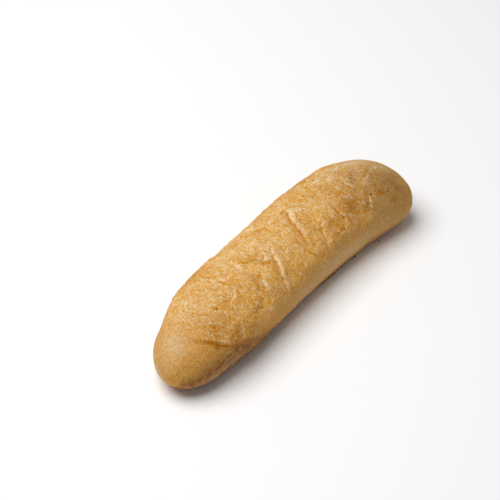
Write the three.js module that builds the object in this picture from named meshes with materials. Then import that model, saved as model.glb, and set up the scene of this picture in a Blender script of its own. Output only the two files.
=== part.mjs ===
// Tiger baguette: one short, slightly bowed loaf under a crackled rice-paste crust, as a single closed solid.
// Millimetres, +Z up. X runs along the loaf, from its tapered end to its full end. The origin is on the
// surface that the loaf lies on, under the middle of its bounding box.
// A place on the crust is [along, turn]: along is mm from the middle of the loaf's length, and turn is
// degrees round the loaf from its top line, positive towards -Y.

import * as THREE from "three";
import { mergeVertices } from "three/addons/utils/BufferGeometryUtils.js";

// Driving dimensions
const LENGTH = 253;
const WIDTH = 67.5;
const HEIGHT = 51.5;

// Ends: how far the rounding of each end reaches along the loaf, and the power of its curve
const TAPERED_END = { reach: 82, power: 2.3 };
const FULL_END = { reach: 49, power: 2.65 };
const TIP_HEIGHT = 18;

// Underside: flat where the loaf has nearly its full section, and lifting to the tips from there
const FLAT_FROM = 0.97;
const LIFT_POWER = 1.5;

// Plan: the loaf bows towards +Y, most of all beyond its middle, and has a slight waist
const BOW = 14;
const BOW_LEAN = 0.52;
const BOW_POWER = 3;
const WAIST = { depth: 0.95, along: 10, reach: 40 };

// Section: the widest level as a share of the height, and the powers of its upper and lower curves
const WIDEST_LEVEL = 0.42;
const UPPER_CURVE = { side: 2.3, top: 2.15 };
const LOWER_CURVE = { side: 2.05, base: 2.2 };
const BASE_CUT = 0.4; // share by which the lower curve, uncut, would reach below the flat of the base

// Crust relief: arc length of one degree round the loaf, and the turns between which relief fades out
const MM_PER_DEGREE = 0.58;
const RELIEF_FADES = [112, 132];

// Broken edges of the crust: each rises steeply on its tapered-end side and sinks slowly behind
const EDGE_FRONT = 3.2;
const BROKEN_EDGES = [
  { line: [[28, -16], [22, 4], [19, 32]], rise: 1.6, back: 9 },
  { line: [[-7, 8], [-13, 31], [-18, 53], [-22, 70]], rise: 1.6, back: 8 },
  { line: [[37, 26], [33, 48], [28, 63]], rise: 1.0, back: 6 },
  { line: [[-32, 27], [-33, 42], [-36, 58]], rise: 0.9, back: 5 },
  { line: [[-63, 20], [-62, 36], [-61, 50]], rise: 0.7, back: 5 },
  { line: [[-42, -9], [-41, 5]], rise: 0.8, back: 6 },
  { line: [[79, -6], [76, 15]], rise: 1.0, back: 4 },
  { line: [[88, 4], [97, 17]], rise: 1.0, back: 6 },
  { line: [[80, 42], [79, 57]], rise: 0.9, back: 5 },
  { line: [[-108, -10], [-101, 28], [-94, 51], [-83, 69], [-72, 78]], rise: 1.5, back: 14 },
];

// Furrows: a split across the top, and the fold at the foot of the shoulder over the tapered end
const FURROWS = [
  { line: [[51, 19], [53, 37], [57, 57]], depth: 0.9, width: 2.2 },
  { line: [[-104, 18], [-97, 50], [-86, 68], [-76, 76]], depth: 0.8, width: 2.6 },
];

// Swellings and hollows: outward rise, and how far each spreads along and round the loaf
const SWELLINGS = [
  { at: [-26, 9], rise: -1.3, long: 10, wide: 7 },
  { at: [-14, 0], rise: 0.9, long: 8, wide: 9 },
  { at: [-68, 19], rise: -0.8, long: 5, wide: 5 },
  { at: [84, 8], rise: -1.3, long: 4, wide: 9 },
  { at: [80, -58], rise: 0.9, long: 20, wide: 18 },
  { at: [0, -60], rise: -0.8, long: 12, wide: 18 },
  { at: [-99, -62], rise: -1.4, long: 10, wide: 18 },
  { at: [-72, -60], rise: 1.1, long: 15, wide: 18 },
  { at: [-82, 110], rise: -2.4, long: 14, wide: 13 },
  { at: [82, 114], rise: -2.2, long: 22, wide: 13 },
];

// Foot: the crust spread out against the tray along part of the -Y side
const FOOT = { line: [[10, 127], [40, 127], [66, 128]], rise: 0.9, width: 3.4 };

// Unevenness of the dough: low bumps and dips strewn evenly over the crust
const BUMPS = { count: 90, rise: [0.15, 0.5], spread: [6, 13], turns: 230, share: 0.9 };
const STREWN = { along: 0.7549, turn: 0.5698, rise: 0.2347, spread: 0.3713 }; // steps of the strewing

// Facets: round the loaf and along it, closer together over the top and towards the tips
const COLUMNS = 62;
const ROWS = 82;
const COLUMN_CROWDING = 0.35;
const ROW_CROWDING = 0.4;

const TOUCHING = 1e-3; // corners closer than this are one corner, and the base lies this close to its surface

const CRUST_COLOUR = 0xd2a25f;

const { clamp, degToRad, radToDeg, smoothstep } = THREE.MathUtils;

function fraction(value) {
  return value - Math.floor(value);
}

function between([low, high], share) {
  return low + (high - low) * share;
}

// Superellipse quarter from 0 at the tip to 1 where the end's rounding stops
function roundedEnd(distance, { reach, power }) {
  const left = 1 - clamp(distance / reach, 0, 1);
  return Math.pow(1 - Math.pow(left, power), 1 / power);
}

// Share of the full section that the loaf has at a place along it
function fullness(along) {
  return roundedEnd(LENGTH / 2 + along, TAPERED_END) * roundedEnd(LENGTH / 2 - along, FULL_END);
}

function sectionAt(along) {
  const full = fullness(along);
  const share = (2 * along) / LENGTH;
  const waist = WAIST.depth * Math.exp(-(((along - WAIST.along) / WAIST.reach) ** 2));
  return {
    half: (WIDTH / 2 - waist) * full,
    top: TIP_HEIGHT + (HEIGHT - TIP_HEIGHT) * full,
    bottom: TIP_HEIGHT * Math.pow(Math.max(0, 1 - full / FLAT_FROM), LIFT_POWER),
    middle: BOW * (1 - Math.abs(share) ** BOW_POWER) * (1 + BOW_LEAN * share),
    cut: BASE_CUT * full ** 2,
  };
}

// Point of the smooth form, before any relief
function pointAt(along, turn) {
  const { half, top, bottom, middle, cut } = sectionAt(along);
  const angle = degToRad(turn + 90);
  const across = Math.cos(angle);
  const up = Math.sin(angle);
  const level = bottom + WIDEST_LEVEL * (top - bottom);
  const curve = up >= 0 ? UPPER_CURVE : LOWER_CURVE;
  const y = middle + half * Math.sign(across) * Math.abs(across) ** (2 / curve.side);
  if (up >= 0) return new THREE.Vector3(along, y, level + (top - level) * up ** (2 / curve.top));
  const depth = (level - bottom) * (1 + cut) * (-up) ** (2 / curve.base);
  return new THREE.Vector3(along, y, Math.max(bottom, level - depth));
}

// Distance in mm from a place to a line of places, positive on the full-end side of the line
function distanceToLine([along, turn], line) {
  let nearest = Infinity;
  for (let i = 1; i < line.length; i++) {
    const [startAlong, startTurn] = line[i - 1];
    const runAlong = line[i][0] - startAlong;
    const runRound = (line[i][1] - startTurn) * MM_PER_DEGREE;
    const toAlong = along - startAlong;
    const toRound = (turn - startTurn) * MM_PER_DEGREE;
    const share = (toAlong * runAlong + toRound * runRound) / (runAlong ** 2 + runRound ** 2);
    const held = clamp(share, 0, 1);
    const distance = Math.hypot(toAlong - held * runAlong, toRound - held * runRound);
    const side = runRound * toAlong - runAlong * toRound < 0 ? -1 : 1;
    if (distance < Math.abs(nearest)) nearest = side * distance;
  }
  return nearest;
}

function bell(distance, width) {
  return Math.exp(-((distance / width) ** 2));
}

function brokenEdges(place) {
  return BROKEN_EDGES.reduce((sum, { line, rise, back }) => {
    const distance = distanceToLine(place, line);
    return sum + rise * bell(distance, distance < 0 ? EDGE_FRONT : back);
  }, 0);
}

function furrows(place) {
  return FURROWS.reduce((sum, { line, depth, width }) => {
    return sum - depth * bell(distanceToLine(place, line), width);
  }, 0);
}

function swelling([along, turn], { at, rise, long, wide }) {
  return rise * bell(Math.hypot((along - at[0]) / long, ((turn - at[1]) * MM_PER_DEGREE) / wide), 1);
}

function unevenness(place) {
  let sum = 0;
  for (let i = 1; i <= BUMPS.count; i++) {
    const along = (fraction(i * STREWN.along) - 0.5) * LENGTH * BUMPS.share;
    const turn = (fraction(i * STREWN.turn) - 0.5) * BUMPS.turns;
    const rise = between(BUMPS.rise, fraction(i * STREWN.rise)) * (i % 2 ? 1 : -1);
    const spread = between(BUMPS.spread, fraction(i * STREWN.spread));
    sum += swelling(place, { at: [along, turn], rise, long: spread, wide: spread });
  }
  return sum;
}

// Outward relief of the crust at a place, nothing on the flat of the base
function reliefAt(place) {
  const [along, turn] = place;
  const shown = 1 - smoothstep(Math.abs(turn), ...RELIEF_FADES);
  const swell = SWELLINGS.reduce((sum, one) => sum + swelling(place, one), 0);
  const foot = FOOT.rise * bell(distanceToLine(place, FOOT.line), FOOT.width);
  const clear = pointAt(along, turn).z > TOUCHING ? 1 : 0;
  return clear * (foot + shown * (swell + brokenEdges(place) + furrows(place) + unevenness(place)));
}

// Places of the facets' corners, from a sphere's grid whose poles are the loaf's tips
function cornerPlace(u, v) {
  const even = ((360 * u + 90) % 360) - 180;
  const crowded = even - radToDeg(COLUMN_CROWDING * Math.sin(degToRad(even)));
  const share = ROW_CROWDING * Math.cos(Math.PI * v) + (1 - ROW_CROWDING) * (1 - 2 * v);
  const along = (LENGTH / 2) * share;
  return [along, LENGTH / 2 - Math.abs(along) > TOUCHING ? crowded : 0];
}

function loafGeometry() {
  const sphere = new THREE.SphereGeometry(1, COLUMNS, ROWS);
  const uv = sphere.getAttribute("uv");
  const places = [];
  for (let i = 0; i < uv.count; i++) places.push(cornerPlace(uv.getX(i), 1 - uv.getY(i)));
  sphere.getAttribute("position").copyArray(places.flatMap((place) => pointAt(...place).toArray()));
  sphere.setAttribute("place", new THREE.Float32BufferAttribute(places.flat(), 2));
  sphere.deleteAttribute("uv");
  sphere.deleteAttribute("normal");

  const loaf = mergeVertices(sphere, TOUCHING);
  loaf.computeVertexNormals();
  const position = loaf.getAttribute("position");
  const normal = loaf.getAttribute("normal");
  const place = loaf.getAttribute("place");
  const point = new THREE.Vector3();
  const outward = new THREE.Vector3();
  for (let i = 0; i < position.count; i++) {
    outward.fromBufferAttribute(normal, i);
    point.fromBufferAttribute(position, i).addScaledVector(outward, reliefAt([place.getX(i), place.getY(i)]));
    position.setXYZ(i, ...point);
  }

  loaf.deleteAttribute("place");
  loaf.computeBoundingBox();
  const middle = loaf.boundingBox.getCenter(new THREE.Vector3());
  loaf.translate(-middle.x, -middle.y, -loaf.boundingBox.min.z);
  loaf.computeVertexNormals();
  return loaf;
}

const crust = new THREE.MeshStandardMaterial({ color: CRUST_COLOUR, roughness: 0.8, metalness: 0 });
const loaf = new THREE.Mesh(loafGeometry(), crust);
loaf.name = "loaf";

const baguette = new THREE.Group();
baguette.add(loaf);

export default baguette;
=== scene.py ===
"""Tiger baguette: the looks of one small loaf, around the solid that gives its form.

Sizes are in mm unless a name says otherwise. A place on the crust is (along, turn): along is mm from
the middle of the loaf's length, and turn is degrees round the loaf from its top line, positive towards -Y.
"""

import math
from collections import namedtuple

import bmesh
import bpy
import numpy as np
from mathutils import Matrix, Vector, noise


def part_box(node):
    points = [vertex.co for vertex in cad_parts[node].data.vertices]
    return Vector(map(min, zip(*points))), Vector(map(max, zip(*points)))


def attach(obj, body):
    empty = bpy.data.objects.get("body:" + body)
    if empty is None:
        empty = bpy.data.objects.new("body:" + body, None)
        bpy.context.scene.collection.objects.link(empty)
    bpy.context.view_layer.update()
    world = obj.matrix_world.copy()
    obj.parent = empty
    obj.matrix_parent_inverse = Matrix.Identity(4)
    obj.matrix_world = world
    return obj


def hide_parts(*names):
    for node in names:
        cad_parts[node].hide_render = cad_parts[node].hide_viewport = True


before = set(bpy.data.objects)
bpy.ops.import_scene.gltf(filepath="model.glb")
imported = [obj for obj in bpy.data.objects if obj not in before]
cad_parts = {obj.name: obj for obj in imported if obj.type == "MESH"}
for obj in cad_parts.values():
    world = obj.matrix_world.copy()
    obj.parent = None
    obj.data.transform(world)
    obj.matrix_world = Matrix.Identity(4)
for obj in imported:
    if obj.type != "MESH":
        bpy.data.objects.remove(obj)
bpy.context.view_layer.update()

MM = 0.001

# Rows of the tables: a spot that spreads along and round the loaf from its place, a streak along a line of
# places, and a fold with its rise, the dip before it, how far it runs out behind and the line of its foot
Spot = namedtuple("Spot", "along turn long wide strength")
Streak = namedtuple("Streak", "line width strength")
Fold = namedtuple("Fold", "rise dip back foot")


def table_of(kind, *rows):
    """A table with rows of one kind."""
    return [kind(*row) for row in rows]


# Form of the loaf, the same as its solid's
LENGTH = 253
WIDTH = 67.5
HEIGHT = 51.5
TAPERED_END = {"reach": 82, "power": 2.3}
FULL_END = {"reach": 49, "power": 2.65}
TIP_HEIGHT = 18
FLAT_FROM = 0.97
LIFT_POWER = 1.5
BOW = 14
BOW_LEAN = 0.52
BOW_POWER = 3
WAIST = {"depth": 0.95, "along": 10, "reach": 40}
WIDEST_LEVEL = 0.42
UPPER_CURVE = {"side": 2.3, "up": 2.15}
LOWER_CURVE = {"side": 2.05, "up": 2.2}
BASE_CUT = 0.4
MM_PER_DEGREE = 0.58
RELIEF_FADES = (112, 132)

# Folds: broken edges of the crust, each a wall that faces the tapered end. The foot of the wall runs
# through points that give a place, the width of the wall there and how pale it is
FOLDS = table_of(
    Fold,
    (1.7, 1.3, 9, (
        (26.8, -14.4, 1.0, 0.8), (25, -7, 3.0, 0.8), (22, -2, 3.4, 0.8), (20.2, 3.6, 1.6, 0.85),
        (18.6, 13.6, 1.2, 0.8), (17.8, 19.6, 1.4, 0.75), (16.8, 26.4, 1.8, 0.5), (15.9, 35, 1.0, 0.0))),
    (0.5, 0.3, 5, (
        (-8, 6, 1.2, 0.2), (-10.4, 10.8, 1.8, 0.6), (-12.4, 16.8, 2.4, 0.8), (-14, 21, 2.0, 0.7))),
    (0.8, 0.4, 5, (
        (-13, 17.5, 2.0, 0.85), (-15.1, 23.2, 3.8, 0.95), (-15.4, 28.4, 3.2, 0.9),
        (-16.4, 33.6, 2.0, 0.7), (-17.6, 38.4, 3.0, 0.85), (-18.7, 43, 3.4, 0.85), (-19.3, 48, 1.8, 0.5))),
    (0.5, 0.3, 4, (
        (-19, 46, 1.6, 0.6), (-19.8, 50.5, 1.8, 0.7), (-20.7, 54.5, 1.4, 0.55), (-21.3, 60, 0.9, 0.2),
        (-21.5, 66, 1.0, 0.5), (-22, 70, 0.9, 0.1))),
    (0.6, 0.4, 6, (
        (-16.2, 3, 1.0, 0.1), (-18, 6.5, 1.8, 0.45), (-19.8, 11.2, 2.8, 0.75), (-20.4, 15.5, 2.8, 0.8),
        (-19.2, 18.5, 1.8, 0.6), (-17, 20, 1.0, 0.1))),
    (0.6, 0.3, 6, (
        (35, 26, 1.4, 0.4), (33.2, 33, 2.0, 0.55), (31.2, 40, 1.4, 0.5), (29.6, 50, 2.0, 0.4),
        (28, 60, 1.6, 0.3), (27, 66, 1.0, 0.0))),
    (0.7, 0.4, 8, (
        (-29.6, 22, 1.6, 0.35), (-33.2, 26.4, 3.6, 0.45), (-35, 32.4, 4.0, 0.5),
        (-35.8, 38.4, 3.0, 0.45), (-37.6, 44, 1.6, 0.3), (-39, 48, 1.0, 0.0))),
    (0.4, 0.3, 5, (
        (-60.8, 18, 0.7, 0.3), (-61.9, 21.6, 0.7, 0.8), (-65.9, 22.4, 0.8, 0.8), (-68.1, 27.6, 0.7, 0.4))),
    (0.5, 0.3, 4, ((-45.8, -5.6, 0.9, 0.5), (-49, -0.8, 1.0, 0.8), (-53.8, 1.2, 0.9, 0.6))),
    (0.8, 0.4, 6, ((-39, -12, 1.5, 0.5), (-40.3, -2, 3.4, 0.8), (-41, 6, 1.5, 0.6))),
    (0.5, 0.3, 4, ((-49.5, 13, 1.0, 0.5), (-50, 20.8, 1.1, 0.8), (-51, 27, 0.9, 0.4))),
    (0.6, 0.3, 4, ((-25, 56, 1.0, 0.2), (-24, 63, 1.4, 0.6), (-22, 76, 0.9, 0.2))),
    (0.7, 0.4, 4, (
        (77.5, -4, 0.9, 0.4), (76, 4, 1.0, 0.8), (76, 7.2, 1.0, 0.9), (75.5, 12.4, 0.9, 0.8),
        (75, 18, 0.8, 0.2))),
    (0.6, 0.3, 5, (
        (93.4, 22, 1.0, 0.1), (94.6, 14, 1.2, 0.6), (93.2, 11.4, 1.4, 0.7), (90.4, 11.8, 1.4, 0.7),
        (87.7, 13, 1.2, 0.5), (85, 16, 1.0, 0.1))),
    (0.7, 0.4, 5, (
        (80.5, 37, 0.9, 0.3), (79.6, 41, 1.1, 0.8), (77.5, 49, 1.1, 0.9), (76.6, 54, 1.0, 0.9),
        (76, 59, 0.9, 0.3))),
    (0.6, 0.3, 8, ((50, -58, 1.2, 0.4), (45, -70, 2.4, 0.5), (42, -86, 1.2, 0.0))),
    (0.7, 0.4, 7, ((6, -58, 1.2, 0.4), (1, -70, 2.0, 0.5), (-2, -84, 1.2, 0.0))),
    (0.7, 0.4, 7, ((-33, -58, 1.2, 0.4), (-37, -70, 2.2, 0.5), (-39, -84, 1.2, 0.0))),
    (0.6, 0.3, 6, ((-70, -55, 1.0, 0.4), (-74, -65, 1.8, 0.5), (-75, -76, 1.0, 0.0))),
    (0.5, 0.3, 6, ((88, -60, 1.0, 0.4), (84, -70, 1.6, 0.4), (83, -80, 1.0, 0.0))),
)
FOLD_AHEAD = 3.4  # reach of the groove before the wall
FOLD_BARED = 0.85  # share of the paste that the groove lacks
FOLD_TAPERS = (0.12, 0.2)  # shares of the foot over which a fold rises at its start and sinks at its end
FOLD_UNEVEN = (3.5, 0.45)  # size of the lumps that change the wall's width, and by which share
FOLD_PATCHY = 0.45  # share of its paleness that the wall lacks on high lumps
FOLD_PATCHES = (-0.1, 0.5)  # heights of the lumps between which it is lost
FOLD_PALE_FROM = (-0.4, 0.3)  # distances from the foot between which the wall turns pale
FOLD_PALE_TO = (0.3, 1.4)  # widths of the wall between which that fades
FOLD_PALE_STARTS = 0.1  # share of the foot over which the paleness sets in
# Painted shade at each fold: an amber line along its foot, and amber in the groove before it
FOOT_LINE = {"share": 0.45, "ahead": 0.6, "width": 1.1}  # amber line at the foot
FOOT_SHADE = 0.4  # amber in the groove
FULL_FOLD = 1.7  # a fold that stands this high has the darkest painted shade at its foot
EDGE_WANDER = ((4.0, 0.45), (1.7, 0.25))  # size and reach of the wander of every edge

# Shoulder: the step of the crust above the bare nose of the tapered end. Lips: thin pale lines, above the
# shoulder's fold, beside dents and above the rim of the base
SHOULDER = {
    "line": ((-107, -10), (-100, 26), (-93, 48), (-82, 66), (-71, 76)),
    "rise": 1.5, "front": 2.2, "back": 14, "starts": (0.05, 0.5),
}
LIPS = table_of(
    Streak,
    (((-100, 24), (-97, 34), (-92, 46), (-84, 59), (-78, 63)), 0.7, 0.42),
    (((-45.2, 28.8), (-44, 35), (-42.7, 40.8)), 0.7, 0.7),
    (((-57, 16), (-59, 21), (-63, 22)), 0.7, 0.8),
    (((-89.7, 71.2), (-82.6, 76.8)), 0.45, 0.6),
    (((-119.9, 65.6), (-113.6, 73.2)), 0.45, 0.55),
    (((-110.9, 92), (-106.3, 81.2)), 0.4, 0.55),
    (((-118.6, 86.4), (-114.2, 99.2)), 0.4, 0.5),
    (((-13, -3.2), (-15.6, 1.6), (-20.8, 8.8)), 0.8, 0.5),
    (((-27.5, 21.2), (-24.2, 28.4)), 0.8, 0.35),
    (((23.8, 37.6), (21.9, 43.6), (20.8, 50.4)), 1.0, 0.35),
    (((39.9, -3.6), (37.3, 3.6)), 0.8, 0.4),
    (((28, -0.8), (31.9, 0), (33.8, 1.6)), 0.8, 0.55),
    (((79.3, 61.6), (80.2, 67.6)), 0.7, 0.4),
    (((12, 118), (38, 117), (64, 118)), 1.0, 0.4),
)

# Furrows: a split across the top, and the fold at the foot of the shoulder, their amber bottoms partly the
# darker crust in them and partly painted shade in the crease
FURROWS = (
    {"line": ((53, 14), (51.5, 30), (53, 42)),
     "depth": 0.85, "width": 0.9, "amber_and_shade": 0.8, "grows": (0, 0.3)},
    {"line": ((56, 41), (56.5, 48), (57, 57)),
     "depth": 0.85, "width": 0.9, "amber_and_shade": 0.85, "grows": (0, 0.3)},
    {"line": ((-108, 3), (-105, 18), (-99.8, 35), (-94.4, 48), (-88.2, 61), (-80.2, 69.5), (-70, 78)),
     "depth": 0.9, "width": 1.7, "amber_and_shade": 0.8, "grows": (0.0, 0.5)},
)

# Swellings and hollows, the low ridge along the visible flank, and the crust spread out at the foot
SWELLINGS = table_of(
    Spot,
    (-26, 9, 10, 7, -1.3), (-14, 0, 8, 9, 0.9), (-68, 19, 5, 5, -0.8), (84, 8, 4, 9, -1.3),
    (80, -58, 20, 18, -0.2), (99, -27, 9, 9, -2.2), (115, 30, 6, 9, -1.9), (0, -60, 12, 18, -0.8),
    (-99, -62, 10, 18, -1.4), (-72, -60, 15, 18, 0.3), (-30, -60, 24, 18, -0.9),
    (-82, 110, 14, 13, -2.4), (82, 114, 22, 13, -2.2),
)
FLANK = Streak(((-48, 66), (-15, 68), (25, 62), (50, 58)), 6, 1.1)
FOOT = Streak(((10, 127), (40, 127), (66, 128)), 3.4, 0.9)

# Unevenness of the dough: low bumps and dips strewn evenly over the crust
BUMPS = {"count": 90, "rise": (0.15, 0.5), "spread": (6, 13), "turns": 230, "share": 0.9}
STREWN = {"along": 0.7549, "turn": 0.5698, "rise": 0.2347, "spread": 0.3713}

# Pinholes in the crust, and how deep into one its dark colour, partly the darker crust in the hole and
# partly painted shade, starts and is full
PINHOLES = table_of(
    Spot,
    (83.4, 36.5, 0.9, 0.9, 0.9), (97, 44, 0.8, 0.8, 0.8), (53.4, 42, 0.55, 0.55, 0.5),
    (-76.6, 15.6, 0.8, 0.8, 0.5), (-123.1, 52.4, 0.5, 0.5, 0.4), (64.3, -23.6, 0.95, 0.95, 0.6),
    (45, -12, 0.6, 0.6, 0.5), (22, -47, 0.8, 0.8, 0.7), (-56, -62, 0.7, 0.7, 0.6),
    (71, -58, 0.8, 0.8, 0.7),
)
PINHOLE_DARK = (0.1, 0.7)

# Pale patches, where the paste lies thick; amber cracks, some where the crust shows through it and some
# painted shade in creases and under lumps; and amber freckles, where the crust shows through it
PALE_PATCHES = table_of(
    Spot,
    (-17.5, 11, 1.8, 2.5, 0.6), (-12.5, 6, 4, 4, 0.6), (-14, -0.5, 1.6, 1.6, 0.5),
    (-8.5, 6.8, 1.3, 1.3, 0.5), (-20.1, -2.8, 1.6, 1.6, 0.6), (-11.1, -10.4, 1.8, 1.2, 0.5),
    (-30.1, 26.8, 1.2, 1.6, 0.5), (-26.8, 16.8, 0.8, 1.2, 0.5), (-79, 62, 0.9, 0.9, 0.6),
    (-16.4, 15, 2.6, 3.2, 0.7), (-18, 37, 1.8, 3, 0.6), (-18.6, 58, 3.5, 4, 0.45),
    (-36, 33, 3, 3.5, 0.75), (-41.3, 67.2, 3, 3, 0.75), (-13.5, 2, 3, 3, 0.65), (-34.5, 36, 2, 3.5, 0.9),
    (-34.1, 46.4, 2, 2, 0.6), (36, 34, 1.4, 4, 0.45), (19.2, 26.8, 2, 2, 0.55), (86.2, 7, 1.4, 2.4, 0.6),
    (-1.3, 25.6, 4, 3, 0.6), (-3.2, -30.8, 6, 5, 0.7), (-14.9, -4.8, 3.5, 3.5, 0.65),
    (10, -15.2, 4.5, 3.5, 0.55), (16.4, -1.6, 3, 3, 0.6), (71, -7.6, 4, 3.5, 0.7),
    (-40.3, -1, 3, 4, 0.5), (-28, -22, 5, 4, 0.5), (31, -22, 5, 4, 0.25), (-112, -8, 5, 7, 0.4),
    (-12, 14.5, 2, 3, 0.85), (-18, 47, 1.6, 6, 0.5),
)
AMBER_CRACKS_AND_SHADE = table_of(
    Streak,
    (((-27.5, 3.2), (-24.5, 6), (-23.4, 12), (-21.6, 17.6), (-19.3, 20.8)), 1.3, 1.0),
    (((-35.2, -1.6), (-31.5, 2.4)), 0.9, 0.8),
    (((-17, 26), (-18, 33), (-18.8, 40)), 1.5, 0.5),
    (((-38.1, 18), (-38.8, 24.4), (-39.5, 30.4), (-42, 37.2)), 1.6, 0.6),
    (((28.2, 0), (24.5, 2.4), (21.9, 6)), 0.8, 0.7),
    (((21.2, -13.2), (24.2, -13.6)), 0.8, 0.9),
    (((-60.5, -27), (-59.3, -15)), 0.9, 0.9),
    (((-63, -18), (-62, -11)), 0.9, 0.8),
    (((-60, -4), (-57, 1)), 0.9, 0.9),
    (((-67.5, -8), (-64.5, 1)), 1.2, 0.7),
    (((-64.5, 14), (-70, 21)), 1.8, 0.5),
    (((-78, 13), (-75.5, 15)), 1.2, 1.0),
    (((-50, 55), (-48.5, 57)), 1.1, 1.0),
    (((-17.5, 27.2), (-21.6, 33.6)), 1.2, 0.4),
    (((31.5, 34), (29.7, 40)), 0.9, 0.8),
    (((20.1, 38), (19.3, 45.2)), 1.1, 0.6),
    (((13.7, 29.2), (13.7, 39.6)), 1.2, 0.6),
    (((8.9, 26), (8.9, 33)), 1.1, 0.6),
    (((18.2, 56.8), (20.1, 66)), 1.2, 0.6),
    (((41.3, 54.8), (47.3, 53.6)), 1.0, 0.7),
    (((71, 34), (69.5, 38.5)), 2.6, 0.45),
    (((-95.5, 44), (-94, 50), (-92.9, 55)), 1.3, 1.0),
    (((-88.9, 59.6), (-86.4, 65.2)), 1.0, 0.9),
    (((-83.8, 67.6), (-78, 75), (-75, 81)), 1.3, 0.8),
)
AMBER_FRECKLES = table_of(
    Spot,
    (63, 14.4, 2.1, 2.1, 1.0), (69.8, 29.2, 2, 2, 0.9), (63, 30, 1.8, 2, 0.8),
    (81.2, 33.5, 1.4, 1.2, 0.6), (90.2, 40.8, 2.4, 1.8, 0.8), (100.2, 14, 1.8, 1.8, 0.8),
    (98.5, 60, 2, 2, 0.3), (72, -44, 1.6, 1.6, 0.8), (61, -36, 1.4, 1.6, 0.7), (-64, -40, 1.5, 1.5, 0.7),
)
CRACK_DEPTH = 0.25
PALE_RISE = 0.3

# Veins: thin pale ridges in the paste, in a network that shows here and there
VEINS = {"size": 7.5, "width": 0.22, "height": 0.25, "share": 0.5}
VEINS_STIRRED = (5.0, 2.6)
VEINS_SHOW = {"size": 6, "from": -0.05, "to": 0.3}

# Steps of the draws that strew scratches and wrinkles evenly
MARK_STEPS = {"along": 0.6180, "turn": 0.3247, "long": 0.4142, "lean": 0.7321, "width": 0.2361}

# Scratches, pale and short, low on the nose
SCRATCHES = {"count": 46, "alongs": (-121, -78), "turns": (68, 90), "long": (1.5, 7), "width": 0.45}
SCRATCH_LEAN = 1.2
SCRATCH_TAPER = 0.2
SCRATCH_SHARE = 0.8

# Wrinkles strewn over the paste, most of them running round the loaf: amber dips and pale ridges in turn
WRINKLES = {"count": 150, "turns": 156, "reach": 0.84, "long": (2.5, 8), "lean": 0.5, "width": (0.6, 1.2)}
WRINKLE_HEIGHT = 0.16
WRINKLE_SHARE = 0.6

# Patches that baked deeper, patches more golden, hollows at the full end painted with shade, brown patches,
# some of them painted shade in those hollows, and pale dusty patches, some of them painted light that lifts
# the shaded rim of the base and flat facets low on the flank
DEEP_PATCHES = table_of(
    Spot,
    (-86, 34, 13, 12, 0.7), (-67.5, 34.5, 5, 5, 0.5), (-88.6, 43, 4, 4, 0.85), (-58, 43, 3, 3, 0.5),
    (-54.9, 14, 4, 4, 0.35), (-67.5, 5.2, 4, 4, 0.3), (48, 43, 7, 7, 0.5), (59.7, 2, 4, 4, 0.45),
    (49.1, -2.4, 4, 4, 0.45), (31.5, -10, 3, 3, 0.4), (33, 14, 5, 5, 0.25), (-78, 56, 10, 8, 0.6),
    (-90, 19, 8, 7, 0.6), (71, 32.4, 2.5, 2.5, 1.0), (53.6, 32, 3, 3, 0.5), (61.3, 10.4, 3, 3, 0.3),
    (65, 34, 12, 9, 0.9), (76, 42, 8, 8, 0.6), (90, 38, 6, 6, 0.7), (82, 31, 2, 2, 0.7),
    (82, 51, 2, 3.5, 0.7), (-54, 52, 5, 4, 0.6), (58, -52, 12, 9, 0.6), (-62, -52, 12, 9, 0.5),
)
TOASTED_PATCHES = table_of(
    Spot,
    (34, 19, 7, 6, 0.8), (20.5, 31, 6, 5, 0.9), (-33, 6, 5, 5, 0.6), (-83, 31, 6, 5, 0.9),
)
SHADED_HOLLOWS = table_of(
    Spot,
    (87.5, -2, 3, 2.6, 0.9), (85.2, 1.4, 1.9, 2.0, 1.0), (82.6, 4.2, 1.9, 2.2, 1.0), (79, 10, 2, 2, 1.0),
    (75.4, 19.2, 1.9, 1.9, 1.0), (88.8, -5.2, 4, 4, 0.7),
)
BROWN_AND_SHADE_PATCHES = table_of(
    Spot,
    (86, -0.5, 2.4, 2.2, 0.2), (82.6, 4.2, 1.9, 2.4, 0.45), (79, 10, 1.8, 1.8, 0.45),
    (109, 24, 6, 7, 0.2), (108.5, 44, 4, 5, 0.35), (40, 53, 4, 4, 0.4), (98.5, 56.8, 3.5, 4, 0.35),
    (-93.6, 55, 2.4, 2.4, 0.6), (-79, 74, 5, 2, 0.3), (-92, -6, 12, 14, 0.12), (-63, 72, 5, 5, 0.35),
    (46, 43, 5, 6, 0.2), (-97, 12, 6, 7, 0.14), (-7, 58.4, 4, 4, 0.2), (-72, 42.8, 3, 3, 0.2),
    (-92.4, 52, 1.6, 1.8, 0.6), (-80, 70, 4, 3, 0.4),
)
DUST_AND_LIGHT_PATCHES = table_of(
    Spot,
    (100, -20, 13, 8, 0.65), (87, -22, 8, 5, 0.65), (103, -7, 6, 4, 0.4), (60, 58, 12, 6, 0.16),
    (76, -15, 6, 4, 0.35), (-92, -6, 12, 14, 0.15), (-76.6, -15.2, 6, 6, 0.25), (-85.5, 9.2, 5, 5, 0.25),
    (20, 54, 14, 7, 0.14), (84, 54, 14, 9, 0.13), (97, 73, 11, 8, 0.14), (108, 3, 8, 7, 0.4),
    (-25, 58, 12, 6, 0.15), (35, 97, 55, 11, 0.48), (35, -97, 55, 11, 0.48), (-114, -6, 11, 14, 0.45),
    (-90, 108, 24, 7, 0.35), (-90, -108, 24, 7, 0.35), (-124, -115, 6, 35, 0.6), (38, 90, 14, 4, 0.56),
    (84, 84, 12, 6, 0.28),
)
HOLLOWS_BARED = 0.9  # share of the paste's paleness that the painted shade in the hollows takes away
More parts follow.
